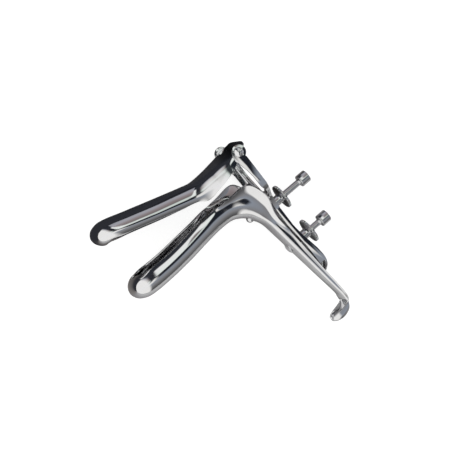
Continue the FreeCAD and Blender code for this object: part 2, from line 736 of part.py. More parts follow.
corner_low = Vector(1e9, 1e9, 1e9)
corner_high = Vector(-1e9, -1e9, -1e9)
for label, item in finished.items():
    for point in item.Shape.tessellate(0.1)[0]:
        corner_low = Vector(*(min(a, b) for a, b in zip(corner_low, point)))
        corner_high = Vector(*(max(a, b) for a, b in zip(corner_high, point)))
middle = (corner_low + corner_high) * 0.5
shift = Vector(-middle.x, -middle.y, -corner_low.z)
print("shift", round(shift.x, 4), round(shift.y, 4), round(shift.z, 4))

os.makedirs("parts", exist_ok=True)
for label, item in finished.items():
    item.Placement = Placement(item.Placement.Base + shift, item.Placement.Rotation)
doc.recompute()
for label, item in finished.items():
    shape = item.Shape
    if shape.isNull() or not shape.isValid():
        raise RuntimeError(f"{label} is not a sound shape")
    print(label, len(shape.Solids), round(shape.Volume, 1))
    shape.exportStep(f"parts/{label}.step")
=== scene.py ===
"""Looks of a polished bivalve speculum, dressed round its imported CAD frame."""

import logging
import math
from collections.abc import Sequence
from dataclasses import dataclass, field
from enum import Enum

import bmesh
import bpy
from mathutils import Matrix, Vector

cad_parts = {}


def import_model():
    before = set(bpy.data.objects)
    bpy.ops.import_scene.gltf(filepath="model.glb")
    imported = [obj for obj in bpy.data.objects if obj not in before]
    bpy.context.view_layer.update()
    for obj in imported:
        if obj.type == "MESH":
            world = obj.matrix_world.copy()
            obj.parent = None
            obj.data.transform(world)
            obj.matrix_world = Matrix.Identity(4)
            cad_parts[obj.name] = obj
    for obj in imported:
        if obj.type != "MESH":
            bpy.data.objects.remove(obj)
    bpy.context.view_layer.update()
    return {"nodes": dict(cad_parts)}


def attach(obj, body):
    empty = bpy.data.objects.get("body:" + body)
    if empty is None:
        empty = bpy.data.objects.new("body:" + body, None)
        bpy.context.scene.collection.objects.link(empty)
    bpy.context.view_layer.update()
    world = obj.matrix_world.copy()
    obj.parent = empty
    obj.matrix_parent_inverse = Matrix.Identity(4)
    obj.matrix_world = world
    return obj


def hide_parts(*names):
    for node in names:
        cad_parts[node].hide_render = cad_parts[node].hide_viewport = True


LOG = logging.getLogger("speculum")
MM = 0.001
# Where the middle of the hinge axis lies in the frame, in millimetres
HINGE_SPOT = Vector((-40.7156, -63.9966, 25.4899))
# Where the same axis lies from the bend between the lower blade and the handle
HINGE_ALONG = -19.3
HINGE_UP = 45.7
# Radii of the bores that run on a stud and on the guide pin
STUD_BORE = 2.46
PIN_BORE = 2.06
# Gaps between a washer and its seat, and between a nut and its washer
SEAT_GAP = 0.05
NUT_GAP = 0.02

Stops = Sequence[tuple[float, tuple[float, float, float]]]
Station = list[float]


class Slot(Enum):
    """The record's material slots."""

    SHEET = "polished_sheet"
    BAR = "polished_bar"
    KNURL = "knurled_bar"
    STRIP = "brushed_strip"


class Body(Enum):
    """The bodies that the pieces ride on."""

    HANDLE = "handle"
    SLIDE = "slide"
    TOP = "top"
    ANGLE_RING = "angle_ring"
    ANGLE_KNOB = "angle_knob"
    LOCK_RING = "lock_ring"
    LOCK_KNOB = "lock_knob"


def spot(ahead: float, down: float, side: float) -> Vector:
    """Turn millimetres from the hinge axis into metres in the frame.

    Args:
        ahead: Distance towards the blade's tip.
        down: Distance down the handle.
        side: Distance towards the near side.

    Returns:
        The place in the frame.
    """
    return (Vector((ahead, down, side)) + HINGE_SPOT) * MM


def from_bend(along: float, up: float, side: float) -> Vector:
    """Turn a place measured from the bend of the lower sheet into the frame.

    Args:
        along: Distance along the blade.
        up: Distance above the bend.
        side: Distance towards the near side.

    Returns:
        The place in the frame.
    """
    return spot(along - HINGE_ALONG, HINGE_UP - up, side)


def round_edges(shape: bmesh.types.BMesh, above: float, width: float, segments: int) -> None:
    """Round the sharp edges of a mesh.

    Args:
        shape: The mesh.
        above: Angle in degrees above which an edge is sharp.
        width: Width of the rounding in millimetres.
        segments: Number of segments of the rounding.
    """
    limit = math.radians(above)
    sharp = [edge for edge in shape.edges if edge.is_manifold and edge.calc_face_angle() > limit]
    bmesh.ops.bevel(
        shape,
        geom=sharp,
        offset=width * MM,
        segments=segments,
        profile=0.5,
        affect="EDGES",
        material=-1,
        clamp_overlap=True,
    )


@dataclass(frozen=True)
class SteelFinish:
    """Steel with a polish, fine wear and a fine relief.

    Attributes:
        name: Name of the material.
        colour: Colour of the metal.
        roughness: Lowest and highest roughness of the smudges.
        smudge_scale: Size of the smudges, as a noise scale.
        grain_stretch: Scale of the grain along each axis.
        grain_depth: Height of the grain in metres.
        ring_centre: Centre of the turned rings, or None for a plain surface.
        smudge_range: Noise values between which a smudge grows.
        tint_range: Noise values between which the colour brightens.
        dullest: Share of the colour that the dullest smudge keeps.
        ring_scale: Fineness of the turned rings.
        relief_strength: Strength of the grain or the rings.
    """

    name: str
    colour: tuple[float, float, float]
    roughness: tuple[float, float]
    smudge_scale: float = 55.0
    grain_stretch: tuple[float, float, float] = (900.0, 900.0, 900.0)
    grain_depth: float = 0.0000003
    ring_centre: tuple[float, float, float] | None = None
    smudge_range: tuple[float, float] = (0.35, 0.7)
    tint_range: tuple[float, float] = (0.3, 0.72)
    dullest: float = 0.94
    ring_scale: float = 420.0
    relief_strength: float = 0.12

    def build(self) -> bpy.types.Material:
        """Build the node material.

        Returns:
            The finished material.
        """
        material = bpy.data.materials.new(self.name)
        material.use_nodes = True
        nodes = material.node_tree.nodes
        links = material.node_tree.links
        shader = nodes["Principled BSDF"]
        shader.inputs["Metallic"].default_value = 1.0
        place = nodes.new("ShaderNodeTexCoord")
        smudge = nodes.new("ShaderNodeTexNoise")
        smudge.inputs["Scale"].default_value = self.smudge_scale
        smudge.inputs["Detail"].default_value = 4.0
        links.new(place.outputs["Object"], smudge.inputs["Vector"])
        spread = nodes.new("ShaderNodeMapRange")
        spread.inputs["From Min"].default_value = self.smudge_range[0]
        spread.inputs["From Max"].default_value = self.smudge_range[1]
        spread.inputs["To Min"].default_value = self.roughness[0]
        spread.inputs["To Max"].default_value = self.roughness[1]
        links.new(smudge.outputs["Fac"], spread.inputs["Value"])
        links.new(spread.outputs["Result"], shader.inputs["Roughness"])
        tint = nodes.new("ShaderNodeValToRGB")
        dull, bright = tint.color_ramp.elements
        dull.position, bright.position = self.tint_range
        dull.color = (*[self.dullest * part for part in self.colour], 1.0)
        bright.color = (*self.colour, 1.0)
        links.new(smudge.outputs["Fac"], tint.inputs["Fac"])
        links.new(tint.outputs["Color"], shader.inputs["Base Color"])
        stretch = nodes.new("ShaderNodeMapping")
        links.new(place.outputs["Object"], stretch.inputs["Vector"])
        relief: bpy.types.Node
        if self.ring_centre is None:
            stretch.inputs["Scale"].default_value = self.grain_stretch
            relief = nodes.new("ShaderNodeTexNoise")
            relief.inputs["Scale"].default_value = 1.0
            relief.inputs["Detail"].default_value = 3.0
        else:
            stretch.inputs["Location"].default_value = [-part for part in self.ring_centre]
            relief = nodes.new("ShaderNodeTexWave")
            relief.wave_type = "RINGS"
            relief.rings_direction = "X"
            relief.inputs["Scale"].default_value = self.ring_scale
            relief.inputs["Distortion"].default_value = 0.6
        links.new(stretch.outputs["Vector"], relief.inputs["Vector"])
        bump = nodes.new("ShaderNodeBump")
        bump.inputs["Strength"].default_value = self.relief_strength
        bump.inputs["Distance"].default_value = self.grain_depth
        links.new(relief.outputs["Fac"], bump.inputs["Height"])
        links.new(bump.outputs["Normal"], shader.inputs["Normal"])
        return material


POLISHED = (0.80, 0.80, 0.81)
SMALL_SMUDGES = 160.0
MIRROR = SteelFinish("mirror_polished_steel", POLISHED, (0.035, 0.10))
TURNED = SteelFinish("turned_polished_steel", POLISHED, (0.07, 0.15), SMALL_SMUDGES)
SATIN = SteelFinish(
    "satin_strip_steel",
    (0.70, 0.70, 0.71),
    (0.20, 0.32),
    grain_stretch=(2600.0, 260.0, 2600.0),
    grain_depth=0.000006,
)


def turned_about(name: str, down: float, side: float) -> SteelFinish:
    """Turned steel with rings about a stud.

    Args:
        name: Name of the material.
        down: Place of the stud down the handle.
        side: Place of the stud across the handle.

    Returns:
        The finish.
    """
    centre = spot(0.0, down, side)
    rings = (centre.x, centre.y, centre.z)
    return SteelFinish(name, POLISHED, (0.06, 0.14), SMALL_SMUDGES, ring_centre=rings)


@dataclass
class Piece:
    """One finished piece and what it stands for.

    Attributes:
        name: Name of the Blender object.
        node: CAD node that the piece replaces.
        body: Body that it rides on.
        slot: Material slot of the record; not used.
        finish: Finish of its surface.
    """

    name: str
    node: str
    body: Body
    slot: Slot
    finish: SteelFinish

    def show(self, shape: bmesh.types.BMesh, sharp: float = 32.0) -> bpy.types.Object:
        """Make the object from its shape, dress it and tie it to the frame.

        Args:
            shape: Mesh in the frame's metres; it is freed.
            sharp: Angle in degrees above which an edge stays sharp.

        Returns:
            The object.
        """
        mesh = bpy.data.meshes.new(self.name)
        shape.to_mesh(mesh)
        shape.free()
        mesh.shade_smooth()
        mesh.set_sharp_from_angle(angle=math.radians(sharp))
        mesh.materials.append(MATERIALS[self.finish.name])
        piece = bpy.data.objects.new(self.name, mesh)
        bpy.context.scene.collection.objects.link(piece)
        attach(piece, self.body.value)
        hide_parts(self.node)
        LOG.info("%s: %d faces", self.name, len(mesh.polygons))
        return piece


MATERIALS: dict[str, bpy.types.Material] = {}


def blend_stations(stations: Sequence[Station], count: int) -> list[Station]:
    """Spread stations evenly along a smooth run through the given ones.

    Args:
        stations: Stations from the tip backwards.
        count: Number of stations wanted.

    Returns:
        The blended stations.
    """
    runs = [0.0]
    for last, following in zip(stations, stations[1:]):
        middle_step = math.hypot(following[0] - last[0], following[1] - last[1])
        edge_step = math.hypot(following[2] - last[2], following[3] - last[3])
        runs.append(runs[-1] + 0.5 * (middle_step + edge_step) + 0.5)
    slopes = []
    for i in range(len(stations)):
        low = max(0, i - 1)
        high = min(len(stations) - 1, i + 1)
        span = runs[high] - runs[low]
        slopes.append([(b - a) / span for a, b in zip(stations[low], stations[high])])
    blended = []
    for k in range(count):
        run = runs[-1] * k / (count - 1)
        i = max(j for j in range(len(runs) - 1) if runs[j] <= run + 1e-9)
        width = runs[i + 1] - runs[i]
        f = (run - runs[i]) / width
        line = []
        for a, b, p, q in zip(stations[i], stations[i + 1], slopes[i], slopes[i + 1]):
            start = (1 + 2 * f) * (1 - f) ** 2 * a + f * (1 - f) ** 2 * width * p
            end = f * f * (3 - 2 * f) * b + f * f * (f - 1) * width * q
            line.append(start + end)
        blended.append(line)
    return blended


@dataclass
class PressedSheet:
    """A sheet pressed through stations along its length.

    A station holds its middle place, its edge place, the edge's half width, the widest half
    width, how deep that widest place lies and how square the section is.

    Attributes:
        piece: What the sheet stands for.
        wall: Thickness of the sheet.
        outward: Side on which the wall lies, seen from the drawn face.
        rows: Number of rows along the sheet.
        across: Number of steps from its middle to its edge.
        round_share: Share of the section that is round.
        rim_bevel: Width of the rounding of its rim.
        half: Half width of the blade.
        waist: Half width where the blade narrows.
        lip: Distance by which the rim turns inwards.
        reach: Length from the bend to the tip.
        nose_length: Length of the rounded tip.
        nose_rise: Half height of the rounded tip.
        nose_up: Height of the tip's middle.
        rim_setback: Distance from the tip back to the rim's far point.
        rim_round: Length over which the rim rounds the tip.
    """

    piece: Piece
    wall: float = 1.4
    outward: float = -1.0
    rows: int = 300
    across: int = 26
    round_share: float = 0.62
    rim_bevel: float = 0.45
    half: float = 17.5
    waist: float = 15.6
    lip: float = 2.6
    reach: float = 100.42
    nose_length: float = 12.5
    nose_rise: float = 8.5
    nose_up: float = 12.5
    rim_setback: float = 9.7
    rim_round: float = 14.0

    def stations(self) -> list[Station]:
        """Stations of the sheet, tip first."""
        raise NotImplementedError

    def section(self, station: Station, hand: int, share: float) -> Vector:
        """Find one point of a station's section.

        Args:
            station: The station.
            hand: 1 for the near side, -1 for the far side.
            share: Way from the middle, 0, to the edge, 1.

        Returns:
            The point in the frame.
        """
        mid = station[0:2]
        edge = station[2:4]
        edge_half, belly_half, belly_share, square = station[4:8]
        if share <= self.round_share:
            angle = share / self.round_share * math.pi / 2
            lateral = belly_half * math.sin(angle) ** square
            depth = belly_share * (1 - max(0.0, math.cos(angle)) ** square)
        else:
            rest = (share - self.round_share) / (1 - self.round_share)
            lateral = belly_half + (edge_half - belly_half) * rest**2
            depth = belly_share + (1 - belly_share) * rest
        along = mid[0] + (edge[0] - mid[0]) * depth
        up = mid[1] + (edge[1] - mid[1]) * depth
        return from_bend(along, up, hand * lateral)

    def inset(self, station: Station) -> Station:
        """Move a measured outer station to the sheet's inner face.

        Args:
            station: Station on the outer face.

        Returns:
            The station one wall inside it.
        """
        along, up, edge_along, edge_up, edge_half, belly_half, *rest = station
        share = self.wall / math.hypot(edge_along - along, edge_up - up)
        along += (edge_along - along) * share
        up += (edge_up - up) * share
        return [along, up, edge_along, edge_up, edge_half - self.wall, belly_half - self.wall, *rest]

    def nose(self, end_along: float, rim_up: float) -> list[Station]:
        """Stations round the blunt, rolled-in tip.

        Args:
            end_along: Place of the tip along the blade.
            rim_up: Height of the rim.

        Returns:
            The stations, from the rim's far point back to the blade.
        """
        lip_half = self.half - self.lip
        centre = end_along - self.nose_length
        rim_end = end_along - self.rim_setback
        stations = []
        for degrees in (14, 28, 42, 56, 70, 85):
            share = degrees / 90
            lift = math.radians(160 * (1 - share**1.6))
            turn = math.radians(degrees)
            along = centre + self.nose_length * math.sin(lift)
            up = self.nose_up - self.nose_rise * math.cos(lift)
            edge = [rim_end - self.rim_round * (1 - math.cos(turn)), rim_up + 0.8 * math.cos(turn)]
            halves = [lip_half * math.sin(turn), self.half * math.sin(turn) ** 0.75]
            stations.append([along, up, *edge, *halves, 0.55 + 0.08 * share, 0.85])
        return stations

    def shape(self) -> bmesh.types.BMesh:
        """Press the sheet out of a flat grid and give it its wall.

        Returns:
            The sheet's mesh.
        """
        sheet = bmesh.new()
        wide = 2 * self.across
        bmesh.ops.create_grid(sheet, x_segments=wide, y_segments=self.rows - 1, size=1.0)
        lines = blend_stations(self.stations(), self.rows)
        for vertex in sheet.verts:
            column = (vertex.co.x + 1) / 2 * wide - self.across
            row = round((vertex.co.y + 1) / 2 * (self.rows - 1))
            hand = 1 if column >= 0 else -1
            vertex.co = self.section(lines[row], hand, abs(round(column)) / self.across)
        sheet.normal_update()
        bmesh.ops.solidify(sheet, geom=sheet.faces[:], thickness=self.outward * self.wall * MM)
        bmesh.ops.recalc_face_normals(sheet, faces=sheet.faces[:])
        round_edges(sheet, above=50.0, width=self.rim_bevel, segments=3)
        return sheet

    def build(self) -> bpy.types.Object:
        """Build and dress the sheet.

        Returns:
            The object.
        """
        return self.piece.show(self.shape(), sharp=70.0)


@dataclass
class LowerBlade(PressedSheet):
    """Lower blade, mouth, handle and hook in one sheet.

    Attributes:
        throat: Height of the sheet's middle at the throat.
        low: Height of its middle along the blade.
        rim: Height of the blade's rim.
        throat_rim: Height of the rim at the throat.
        wing: Half width where the rim flares at the mouth.
        length: Length of the handle.
        handle_front: Place of the handle's front at the bend.
        handle_slope: Slope of that front.
        handle_rear: Place of the handle's rear edges at the bend.
        rear_slope: Slope of those edges.
        handle_half: Half width of the handle at the bend.
        end_half: Half width of the handle at the hook.
        hook_depth: Depth of the hook's hollow.
    """

    throat: float = 7.9
    low: float = 3.9
    rim: float = 19.6
    throat_rim: float = 23.4
    wing: float = 21.3
    length: float = 88.0
    handle_front: float = 5.2
    handle_slope: float = 0.155
    handle_rear: float = 14.9
    rear_slope: float = 0.09
    handle_half: float = 11.8
    end_half: float = 8.6
    hook_depth: float = 6.4

    def stations(self) -> list[Station]:
        """Stations of the lower sheet.

        Returns:
            The stations, from the tip to the hook.
        """
        reach, half, waist, lip = self.reach, self.half, self.waist, self.lip
        low, throat, rim, wing = self.low, self.throat, self.rim, self.wing
        high = self.throat_rim
        stations = self.nose(reach, rim)
        stations += [
            [0.72 * reach, low - 0.1, 0.66 * reach, rim, half - lip, half, 0.64, 0.8],
            [0.52 * reach, low + 1.1, 0.49 * reach, rim + 1.0, half - lip, half - 0.3, 0.66, 0.8],
            [0.35 * reach, throat - 1.0, 0.33 * reach, rim + 2.3, waist - 1.0, waist + 0.4, 0.7, 0.78],
            [0.22 * reach, throat, 0.2 * reach, high, waist - 0.3, waist, 0.76, 0.76],
            [0.11 * reach, throat - 0.6, 0.065 * reach, high + 0.5, wing - 3.4, waist + 0.5, 0.72, 0.74],
            [2.6, 2.6, -10.5, high, wing, waist + 0.9, 0.5, 0.72],
            [-2.2, -3.4, -17.4, 9.0, wing - 1.0, waist - 1.2, 0.42, 0.68],
        ]
        half_drop = self.handle_half - self.end_half
        for share in (0.13, 0.27, 0.52, 0.79, 1.0):
            down = share * self.length
            front = -self.handle_front - self.handle_slope * down
            rear = -self.handle_rear - self.rear_slope * down
            edge_half = self.handle_half - half_drop * share
            flare = max(0.0, 0.27 - share) / 0.14
            mid = [front + 0.3 * flare, -down]
            edge = [rear, -down + 0.12 * (front - rear) + 3.0 * flare]
            halves = [edge_half + 2.4 * flare, edge_half - 0.5 + 0.4 * flare]
            stations.append([*mid, *edge, *halves, 0.4, 0.6])
        return [self.inset(station) for station in stations] + self.hook()

    def hook(self) -> list[Station]:
        """Stations where the handle turns forward into the finger rest.

        Returns:
            The stations, from the handle to the hook's end.
        """
        half, length, deep = self.end_half, self.length, self.hook_depth
        front = -self.handle_front - self.handle_slope * length
        low = -length - 15.9
        turn = low + 3.4 + 0.62 * deep
        seat = low + 0.7 + 0.95 * deep
        return [
            [front - 1.2, -length - 3.8, front - 3.2, -length - 4.6, half - 0.3, half - 0.6, 0.45, 0.65],
            [front - 1.6, -length - 8.0, front - 0.6, -length - 7.2, half - 0.5, half - 0.7, 0.5, 0.75],
            [front + 0.2, low + 3.2, front + 3.6, turn, half - 0.8, half - 0.9, 0.5, 0.85],
            [front + 4.4, low + 0.7, front + 7.2, seat, half - 1.2, half - 1.3, 0.5, 0.9],
            [front + 9.2, low, front + 10.6, low + deep, half - 2.0, half - 2.1, 0.5, 0.9],
            [front + 13.2, low + 0.8, front + 13.6, low + 0.9 * deep, half - 3.4, half - 3.4, 0.5, 0.9],
            [front + 15.6, low + 2.4, front + 15.4, low + 0.8 * deep, half - 5.6, half - 5.6, 0.5, 0.9],
        ]


@dataclass
class UpperBlade(PressedSheet):
    """Upper blade and funnel, swung open about the hinge, with a cheek at each side.

    Attributes:
        short: Length by which it is shorter than the lower blade.
        rim: Height of its rim when closed.
        top: Height of its middle when closed.
        wide: Half width of the funnel.
        tip_low: Height of the lower blade's middle, which the tip mirrors.
        spread: Angle in degrees by which it stands open at rest.
        cheek_radius: Radius of a hinge cheek.
        cheek_inset: Distance of a cheek's faces inside the wall.
    """

    short: float = 3.0
    rim: float = 23.5
    top: float = 36.5
    wide: float = 22.0
    tip_low: float = 3.9
    spread: float = 16.5
    cheek_radius: float = 3.9
    cheek_inset: float = 0.13

    def swing(self, along: float, up: float) -> list[float]:
        """Swing a place on the closed blade to the open pose.

        Args:
            along: Place along the closed blade.
            up: Height above the bend.

        Returns:
            The place in the open pose.
        """
        angle = math.radians(self.spread)
        ahead = along - HINGE_ALONG
        above = up - HINGE_UP
        return [
            HINGE_ALONG + ahead * math.cos(angle) - above * math.sin(angle),
            HINGE_UP + ahead * math.sin(angle) + above * math.cos(angle),
        ]

    def stations(self) -> list[Station]:
        """Stations of the upper sheet.

        Returns:
            The stations, from the tip to the funnel's end.
        """
        reach, half, waist, lip = self.reach, self.half, self.waist, self.lip
        rim, top, wide = self.rim, self.top, self.wide
        mirror = top + self.tip_low
        closed = []
        for along, up, edge_along, edge_up, *rest in self.nose(reach - self.short, mirror - rim):
            closed.append([along, mirror - up, edge_along, mirror - edge_up, *rest])
        closed += [
            [0.69 * reach, top, 0.63 * reach, rim, half - lip, half, 0.64, 0.8],
            [0.50 * reach, top, 0.47 * reach, rim + 0.1, half - lip, half - 0.3, 0.66, 0.8],
            [0.34 * reach, top, 0.31 * reach, rim + 0.5, waist - 1.3, waist + 0.3, 0.68, 0.76],
            [0.23 * reach, top, 0.19 * reach, rim + 0.8, waist - 0.9, waist + 0.1, 0.68, 0.72],
            [15.7, top + 0.2, 11.5, rim - 1.2, waist - 0.8, waist + 0.9, 0.5, 0.62],
            [3.4, top + 3.5, -0.4, rim + 4.1, wide - 2.6, wide - 2.6, 0.5, 0.52],
            [-8.8, top + 7.9, -8.8, rim + 9.2, wide - 0.2, wide - 0.3, 0.5, 0.46],
            [-20.1, top + 12.1, -14.9, rim + 14.7, wide, wide, 0.5, 0.42],
            [-28.02, top + 14.92, -18.6, rim + 17.9, wide, wide, 0.5, 0.42],
        ]
        opened = [[*self.swing(*line[0:2]), *self.swing(*line[2:4]), *line[4:]] for line in closed]
        return [self.inset(station) for station in opened]

    def shape(self) -> bmesh.types.BMesh:
        """Press the sheet and add its two hinge cheeks.

        Returns:
            The blade's mesh.
        """
        sheet = super().shape()
        for hand in (-1, 1):
            centre = spot(0.0, 0.0, hand * (self.wide - self.wall / 2))
            bmesh.ops.create_cone(
                sheet,
                cap_ends=True,
                segments=48,
                radius1=self.cheek_radius * MM,
                radius2=self.cheek_radius * MM,
                depth=(self.wall - 2 * self.cheek_inset) * MM,
                matrix=Matrix.Translation(centre),
            )
        return sheet


@dataclass
class PlatePart:
    """A bent plate that keeps the solid's form and gets fine, rounded edges.

    Attributes:
        piece: What the plate stands for.
        rounding: Width of its edges' rounding.
        sharp: Angle in degrees above which an edge is rounded.
    """

    piece: Piece
    rounding: float = 0.22
    sharp: float = 35.0

    def build(self, frame_nodes: dict[str, bpy.types.Object]) -> bpy.types.Object:
        """Join the solid's triangles in a copy, round its edges and dress it.

        Args:
            frame_nodes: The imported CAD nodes.

        Returns:
            The object.
        """
        shape = bmesh.new()
        shape.from_mesh(frame_nodes[self.piece.node].data)
        bmesh.ops.remove_doubles(shape, verts=shape.verts[:], dist=0.00001)
        bmesh.ops.dissolve_limit(
            shape,
            angle_limit=math.radians(1.0),
            verts=shape.verts[:],
            edges=shape.edges[:],
            use_dissolve_boundaries=False,
        )
        round_edges(shape, above=self.sharp, width=self.rounding, segments=2)
        return self.piece.show(shape, sharp=40.0)


@dataclass
class TurnedPart:
    """A part turned about a stud's axis.

    Attributes:
        piece: What the part stands for.
        down: Place of the axis down the handle.
        side: Place of the axis across the handle.
        profile: Pairs of place along the axis and radius, front first.
        steps: Number of steps round the axis.
        rounding: Width of the rounding of its corners.
    """

    piece: Piece
    down: float
    side: float
    profile: list[tuple[float, float]] = field(default_factory=list)
    steps: int = 96
    rounding: float = 0.18

    def shape(self) -> bmesh.types.BMesh:
        """Spin the profile about the stud's axis.

        Returns:
            The part's mesh.
        """
        shape = bmesh.new()
        corners = []
        for ahead, radius in self.profile:
            corners.append(shape.verts.new(spot(ahead, self.down, self.side + radius)))
        edges = [shape.edges.new(pair) for pair in zip(corners, corners[1:])]
        bmesh.ops.spin(
            shape,
            geom=corners + edges,
            cent=spot(0.0, self.down, self.side),
            axis=Vector((1.0, 0.0, 0.0)),
            angle=math.tau,
            steps=self.steps,
            use_merge=True,
        )
        bmesh.ops.remove_doubles(shape, verts=shape.verts[:], dist=0.000005)
        bmesh.ops.recalc_face_normals(shape, faces=shape.faces[:])
        round_edges(shape, above=30.0, width=self.rounding, segments=2)
        return shape

    def build(self) -> bpy.types.Object:
        """Build and dress the part.

        Returns:
            The object.
        """
        return self.piece.show(self.shape())


@dataclass
class ThumbNut(TurnedPart):
    """A round nut with a small flange, a neck and a wide disc with a grooved rim.

    Attributes:
        front: Place of the nut's front face.
        grooves: Number of grooves round the rim.
        groove_depth: Depth of a groove.
        steps: Number of steps round the axis.
        disc_radius: Radius of the disc.
        flange_radius: Radius of the flange.
        neck_radius: Radius of the neck.
        lengths: Lengths of the flange, the neck, the disc and the cone behind it.
        cone_step: Distance by which the cone starts inside the disc's rim.
        groove_zone: Width of the rim that the grooves are pressed into.
    """

    front: float = 0.0
    grooves: int = 30
    groove_depth: float = 0.55
    steps: int = 240
    disc_radius: float = 9.7
    flange_radius: float = 5.0
    neck_radius: float = 3.8
    lengths: tuple[float, float, float, float] = (1.3, 5.6, 1.9, 1.3)
    cone_step: float = 0.8
    groove_zone: float = 0.5

    def __post_init__(self) -> None:
        """Work out the profile from the nut's front face."""
        flange_length, neck_length, disc_length, cone_length = self.lengths
        neck = self.front - flange_length
        disc = neck - neck_length
        cone = disc - disc_length
        rear = cone - cone_length
        self.profile = [
            (self.front, STUD_BORE),
            (self.front, self.flange_radius),
            (neck, self.flange_radius),
            (neck, self.neck_radius),
            (disc, self.neck_radius),
            (disc, self.disc_radius),
            (cone, self.disc_radius),
            (cone, self.disc_radius - self.cone_step),
            (rear, self.neck_radius),
            (rear, STUD_BORE),
            (self.front, STUD_BORE),
        ]

    def shape(self) -> bmesh.types.BMesh:
        """Spin the nut, then press the grooves into its rim.

        Returns:
            The nut's mesh.
        """
        shape = super().shape()
        centre = spot(0.0, self.down, self.side)
        inner = (self.disc_radius - self.groove_zone) * MM
        for vertex in shape.verts:
            reach = Vector((0.0, vertex.co.y - centre.y, vertex.co.z - centre.z))
            if reach.length < inner:
                continue
            turn = math.atan2(reach.z, reach.y) * self.grooves
            press = max(0.0, math.cos(turn)) ** 1.5 * self.groove_depth * MM
            vertex.co -= reach.normalized() * press
        return shape


def chamfered(front: float, rear: float, radius: float, chamfer: float) -> list[tuple[float, float]]:
    """Profile of a plain cap with chamfered ends.

    Args:
        front: Place of its front face.
        rear: Place of its rear face.
        radius: Its radius.
        chamfer: Width of its chamfers.

    Returns:
        The profile.
    """
    return [
        (front, 0.0),
        (front, radius - chamfer),
        (front - chamfer, radius),
        (rear + chamfer, radius),
        (rear, radius - chamfer),
        (rear, 0.0),
    ]


# Panels on the side that the handle points to, along Y
DOWN_PANELS: Stops = [
    (0.12, (0.015, 0.018, 0.025)),
    (0.32, (0.015, 0.018, 0.025)),
    (0.4, (0.30, 0.33, 0.38)),
    (0.7, (0.26, 0.26, 0.27)),
    (1.0, (0.10, 0.10, 0.10)),
]
# Panels on the opposite side, along Y
BACK_PANELS: Stops = [
    (-1.0, (0.30, 0.30, 0.33)),
    (-0.85, (0.42, 0.42, 0.46)),
    (-0.55, (0.30, 0.25, 0.25)),
    (-0.2, (0.20, 0.17, 0.16)),
    (-0.1, (0.66, 0.72, 0.68)),
    (0.05, (0.80, 0.88, 0.82)),
    (0.12, (0.0, 0.0, 0.0)),
]
# Where those panels show, along X
BACK_GATE: Stops = [
    (-0.23, (1.0, 1.0, 1.0)),
    (-0.2, (0.04, 0.04, 0.04)),
    (0.12, (0.04, 0.04, 0.04)),
    (0.2, (1.0, 1.0, 1.0)),
]
# White panel beyond the blades' tips, along X
AHEAD_PANEL: Stops = [
    (-1.0, (0.2, 0.2, 0.21)),
    (-0.6, (0.0, 0.0, 0.0)),
    (0.16, (0.0, 0.0, 0.0)),
    (0.3, (1.0, 0.99, 0.96)),
]
# Light that the handle's flank mirrors, along X and along Y
FLANK_WIDE: Stops = [
    (-0.09, (0.0, 0.0, 0.0)),
    (-0.03, (0.92, 0.91, 0.88)),
]
FLANK_TALL: Stops = [
    (0.1, (0.0, 0.0, 0.0)),
    (0.17, (1.0, 1.0, 1.0)),
    (0.33, (1.0, 1.0, 1.0)),
    (0.42, (0.0, 0.0, 0.0)),
]
# Narrow window overhead, along X and along Y
WINDOW_WIDE: Stops = [
    (-0.225, (0.0, 0.0, 0.0)),
    (-0.205, (1.0, 1.0, 1.0)),
    (-0.08, (1.0, 1.0, 1.0)),
    (-0.055, (0.0, 0.0, 0.0)),
]
WINDOW_TALL: Stops = [
    (-0.8, (0.0, 0.0, 0.0)),
    (-0.72, (1.0, 1.0, 0.99)),
    (0.02, (0.94, 1.0, 0.95)),
    (0.08, (0.0, 0.0, 0.0)),
]
# Painted reflection: tone of the floor as the steel mirrors it, dark towards -Y, lighter towards +Y and
# with a narrow dark strip along Y; given along Y and along X in metres
PAINTED_FLOOR_REFLECTION_DOWN: Stops = [
    (-0.085, (0.035, 0.037, 0.045)),
    (-0.064, (0.06, 0.06, 0.065)),
    (-0.035, (0.26, 0.24, 0.23)),
    (-0.01, (0.36, 0.35, 0.36)),
    (0.06, (0.62, 0.62, 0.62)),
]
PAINTED_FLOOR_REFLECTION_AHEAD: Stops = [
    (-0.06, (1.0, 1.0, 1.0)),
    (-0.052, (0.09, 0.09, 0.09)),
    (-0.043, (0.10, 0.10, 0.10)),
    (-0.03, (1.0, 1.0, 1.0)),
]


